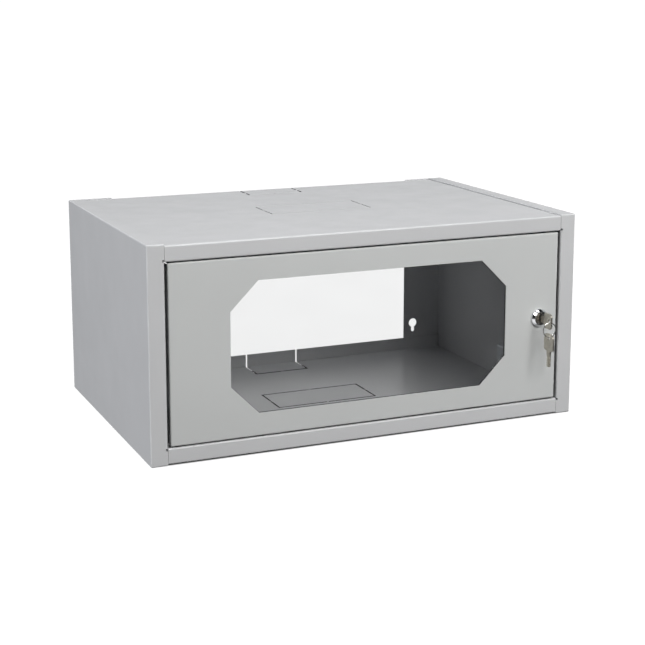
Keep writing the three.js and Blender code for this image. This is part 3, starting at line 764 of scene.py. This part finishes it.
def make_key_ring():
    """Split ring: two turns of flat spring wire lying against each other."""
    centre = centre_of("key_ring")
    low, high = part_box("key_ring")
    outer = (high.x - low.x) / 2 / MM
    wire = 1.3
    thick = 0.52
    turns, steps = 2.02, 150
    section = [(u * wire / 2, v * thick / 2) for u, v in
               [(-1, -0.5), (-0.7, -1), (0.7, -1), (1, -0.5), (1, 0.5), (0.7, 1), (-0.7, 1), (-1, 0.5)]]
    mesh = bmesh.new()
    rings = []
    for i in range(steps + 1):
        share = i / steps
        angle = math.radians(70) + 2 * math.pi * turns * share
        lift = (share - 0.5) * thick * 1.16
        ring = []
        for across, along in section:
            radius = outer - wire / 2 + across
            point = (radius * math.cos(angle) * MM, (lift + along) * MM, radius * math.sin(angle) * MM)
            ring.append(mesh.verts.new(Vector(point) + centre))
        rings.append(ring)
    for ring, after in zip(rings, rings[1:]):
        for i in range(len(section)):
            j = (i + 1) % len(section)
            mesh.faces.new((ring[i], ring[j], after[j], after[i]))
    mesh.faces.new(rings[0])
    mesh.faces.new(rings[-1])
    stand_for(finish_mesh("split_ring", mesh, sharp=50), "key_ring")


# ---------------------------------------------------------------- hinge and bumpers

def make_hinge(level, sign):
    """Welded pin with a chamfered tip, and the flanged nylon bush it turns in. sign points outwards."""
    node = f"{level}_hinge_pin"
    low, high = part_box(node)
    centre = Vector(((low.x + high.x) / 2, (low.y + high.y) / 2, 0))
    head = (high.z if sign > 0 else low.z) / MM
    tip = (low.z if sign > 0 else high.z) / MM
    profile = [(0, tip), (1.3, tip), (2.0, tip + sign * 0.9), (2.0, head - sign * 2.3)]
    profile += [(2.3, head - sign * 2.0), (3.4, head - sign * 2.0)]
    profile += [(3.6, head - sign * 1.8), (3.6, head - sign * 0.5)]
    profile += [(3.1, head), (0, head)]
    stand_for(lathe(f"{level}_pivot_pin", profile, "z", centre, 48), node)
    node = f"{level}_hinge_bush"
    low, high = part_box(node)
    outer = (high.z if sign > 0 else low.z) / MM
    inner = (low.z if sign > 0 else high.z) / MM
    seat = outer - sign * 0.9                # where the collar ends
    profile = [(2.35, outer - sign * 0.15), (2.6, outer), (4.4, outer), (4.6, outer - sign * 0.2)]
    profile += [(4.6, seat + sign * 0.15), (4.45, seat), (3.2, seat)]
    profile += [(3.2, inner + sign * 0.4), (2.9, inner), (2.35, inner)]
    stand_for(lathe(f"{level}_pivot_bush", profile, "z", centre, 64, closed=True), node)


def make_bumper(level):
    """Soft rubber pad with a domed face towards the door's edge."""
    node = f"{level}_door_bumper"
    low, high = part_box(node)
    centre = Vector(((low.x + high.x) / 2, 0, (low.z + high.z) / 2))
    half_x, half_z = (high.x - low.x) / 2, (high.z - low.z) / 2
    mesh = bmesh.new()
    columns, layers = 20, 6
    rings = []
    for layer in range(layers + 1):
        share = layer / layers
        inset = 1 - 0.30 * share ** 4
        y = high.y + (low.y - high.y) * math.sin(share * math.pi / 2)
        ring = []
        for i in range(columns * 2):
            angle = math.pi * i / columns
            x = math.copysign(abs(math.cos(angle)) ** 0.55, math.cos(angle)) * half_x * inset
            z = math.copysign(abs(math.sin(angle)) ** 0.55, math.sin(angle)) * half_z * inset
            ring.append(mesh.verts.new(centre + Vector((x, y, z))))
        rings.append(ring)
    for ring, after in zip(rings, rings[1:]):
        for i in range(len(ring)):
            j = (i + 1) % len(ring)
            mesh.faces.new((ring[i], ring[j], after[j], after[i]))
    mesh.faces.new(rings[0])
    mesh.faces.new(rings[-1])
    stand_for(finish_mesh(f"{level}_rubber_pad", mesh, sharp=60), node)


# ---------------------------------------------------------------- fasteners

def make_rail_fasteners(side, level, sign):
    """Socket-head bolt through the rail and bracket, and its nut. sign is +1 on the right."""
    node = f"{side}_{level}_rail_bolt"
    low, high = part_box(node)
    centre = Vector((0, (low.y + high.y) / 2, (low.z + high.z) / 2))
    inner = (low.x if sign > 0 else high.x) / MM
    outer = (high.x if sign > 0 else low.x) / MM
    seat = inner + sign * 4.0
    profile = [(0, inner), (4.5, inner), (5.0, inner + sign * 0.5), (5.0, seat - sign * 0.2), (4.8, seat)]
    profile += [(3.2, seat), (3.0, seat + sign * 0.3), (3.0, seat + sign * 3.5)]
    profile += thread(3.0, seat + sign * 3.6, outer - sign * 0.6, 1.0, 0.4) + [(2.0, outer), (0, outer)]
    bolt = lathe(f"{side}_{level}_socket_bolt", profile, "x", centre, 48)
    span = sorted((inner - sign, inner + sign * 2.4))
    carve(bolt, [prism("hexagon_socket", hexagon(2.9, 15), "x", centre, *span)])
    ease_edges(bolt, 0.1 * MM)
    stand_for(bolt, node)
    node = f"{side}_{level}_rail_nut"
    low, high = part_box(node)
    span = sorted((low.x / MM, high.x / MM))
    nut = chamfered_nut(f"{side}_{level}_plated_nut", "x", centre, 5.7, 3.35, *span)
    stand_for(nut, node)


def make_earth_point():
    low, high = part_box("earth_stud")
    centre = Vector(((low.x + high.x) / 2, (low.y + high.y) / 2, 0))
    base, top = low.z / MM, high.z / MM
    profile = [(0, base), (3.9, base), (4.0, base + 0.1), (4.0, base + 0.6)]
    profile += [(3.5, base + 0.7), (3.0, base + 1.1)]
    profile += thread(3.0, base + 1.4, top - 0.8, 1.0, 0.4) + [(2.0, top), (0, top)]
    stand_for(lathe("welded_earth_stud", profile, "z", centre, 48), "earth_stud")
    low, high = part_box("earth_washer")
    base, top = low.z / MM, high.z / MM
    profile = [(3.35, base), (6.0, base), (6.25, base + 0.25)]
    profile += [(6.25, top - 0.35), (5.9, top), (3.35, top)]
    stand_for(lathe("earth_lock_washer", profile, "z", centre, 64, closed=True), "earth_washer")
    low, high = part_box("earth_nut")
    nut = chamfered_nut("earth_stud_nut", "z", centre, 5.7, 3.35, low.z / MM, high.z / MM)
    stand_for(nut, "earth_nut")


# ---------------------------------------------------------------- assembly

bpy.context.scene.view_settings.view_transform = "Standard"
materials = make_materials()
make_camera()
make_lights()
make_world()
make_floor()
dress_kept_nodes()
make_lock_housing()
make_lock_plug()
make_lock_nut()
make_cam_screw()
make_keys()
make_key_ring()
for level, sign in (("upper", 1), ("lower", -1)):
    make_hinge(level, sign)
    make_bumper(level)
    make_rail_fasteners("right", level, 1)
    make_rail_fasteners("left", level, -1)
make_earth_point()
